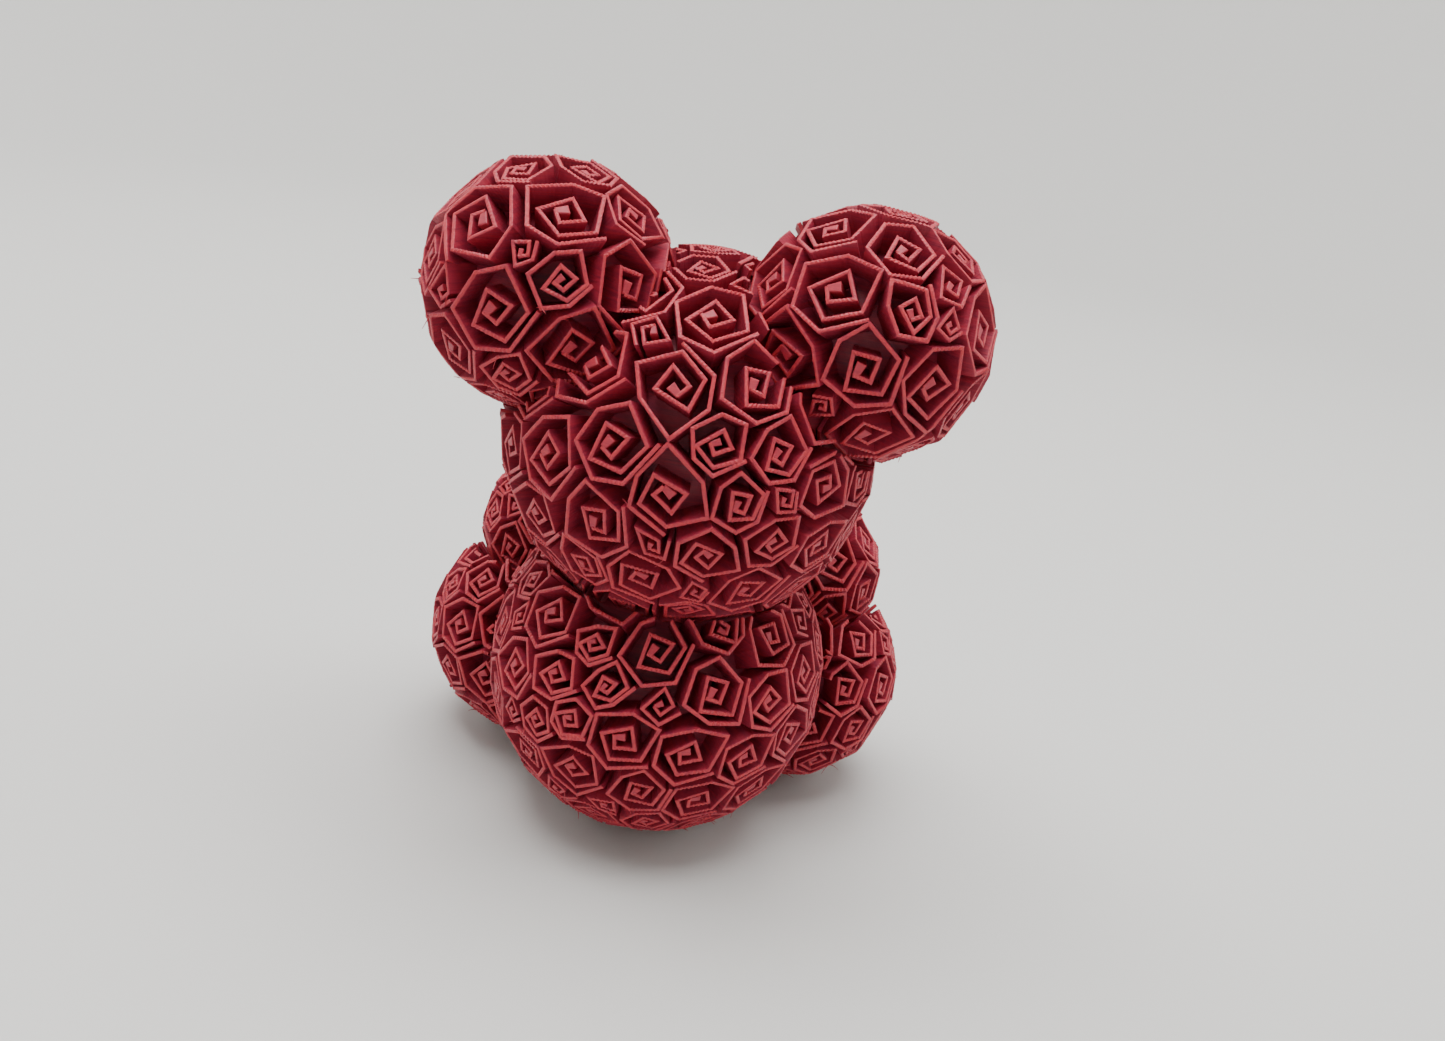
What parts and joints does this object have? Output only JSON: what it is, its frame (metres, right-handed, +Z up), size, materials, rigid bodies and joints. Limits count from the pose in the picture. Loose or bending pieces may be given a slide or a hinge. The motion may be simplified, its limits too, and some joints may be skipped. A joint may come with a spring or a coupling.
{
  "type": "seated bear figure",
  "caption": "Seated bear figure of ball-shaped parts covered in raised squared-off spiral roses, with a swivelling head and arms on pegs.",
  "frame": {"origin": "centre of the flat base on the surface it stands on", "axes": "+Z up, the figure faces -Y, its left side is at +X"},
  "size_m": [0.121, 0.0957, 0.1482],
  "materials": {
    "rose_skin": "matt printed plastic with fine layer lines",
    "core_shell": "matt printed plastic with fine layer lines",
    "fittings": "matt printed plastic"
  },
  "bodies": {
    "body": {"body_shell": "core_shell", "body_roses": "rose_skin", "base_plug": "fittings", "left_leg_shell": "core_shell", "right_leg_shell": "core_shell", "left_leg_roses": "rose_skin", "right_leg_roses": "rose_skin", "left_hip_dowel": "fittings", "right_hip_dowel": "fittings"},
    "head": {"head_shell": "core_shell", "head_roses": "rose_skin", "neck_peg": "fittings", "neck_clip": "fittings", "muzzle_shell": "core_shell", "muzzle_roses": "rose_skin", "muzzle_dowel": "fittings", "left_ear_shell": "core_shell", "right_ear_shell": "core_shell", "left_ear_roses": "rose_skin", "right_ear_roses": "rose_skin", "left_ear_dowel": "fittings", "right_ear_dowel": "fittings"},
    "left_arm": {"left_arm_shell": "core_shell", "left_arm_roses": "rose_skin", "left_shoulder_peg": "fittings", "left_shoulder_clip": "fittings"},
    "right_arm": {"right_arm_shell": "core_shell", "right_arm_roses": "rose_skin", "right_shoulder_peg": "fittings", "right_shoulder_clip": "fittings"}
  },
  "joints": [
    {"name": "head_swivel", "type": "hinge", "parent": "body", "child": "head", "pos_m": [0, 0, 0.0935], "axis": [0, 0, 1], "continuous": true},
    {"name": "left_arm_swivel", "type": "hinge", "parent": "body", "child": "left_arm", "pos_m": [0.031, -0.035, 0.0525], "axis": [0.6294, -0.7106, 0.3147], "continuous": true},
    {"name": "right_arm_swivel", "type": "hinge", "parent": "body", "child": "right_arm", "pos_m": [-0.031, -0.035, 0.0525], "axis": [-0.6294, -0.7106, 0.3147], "continuous": true}
  ]
}
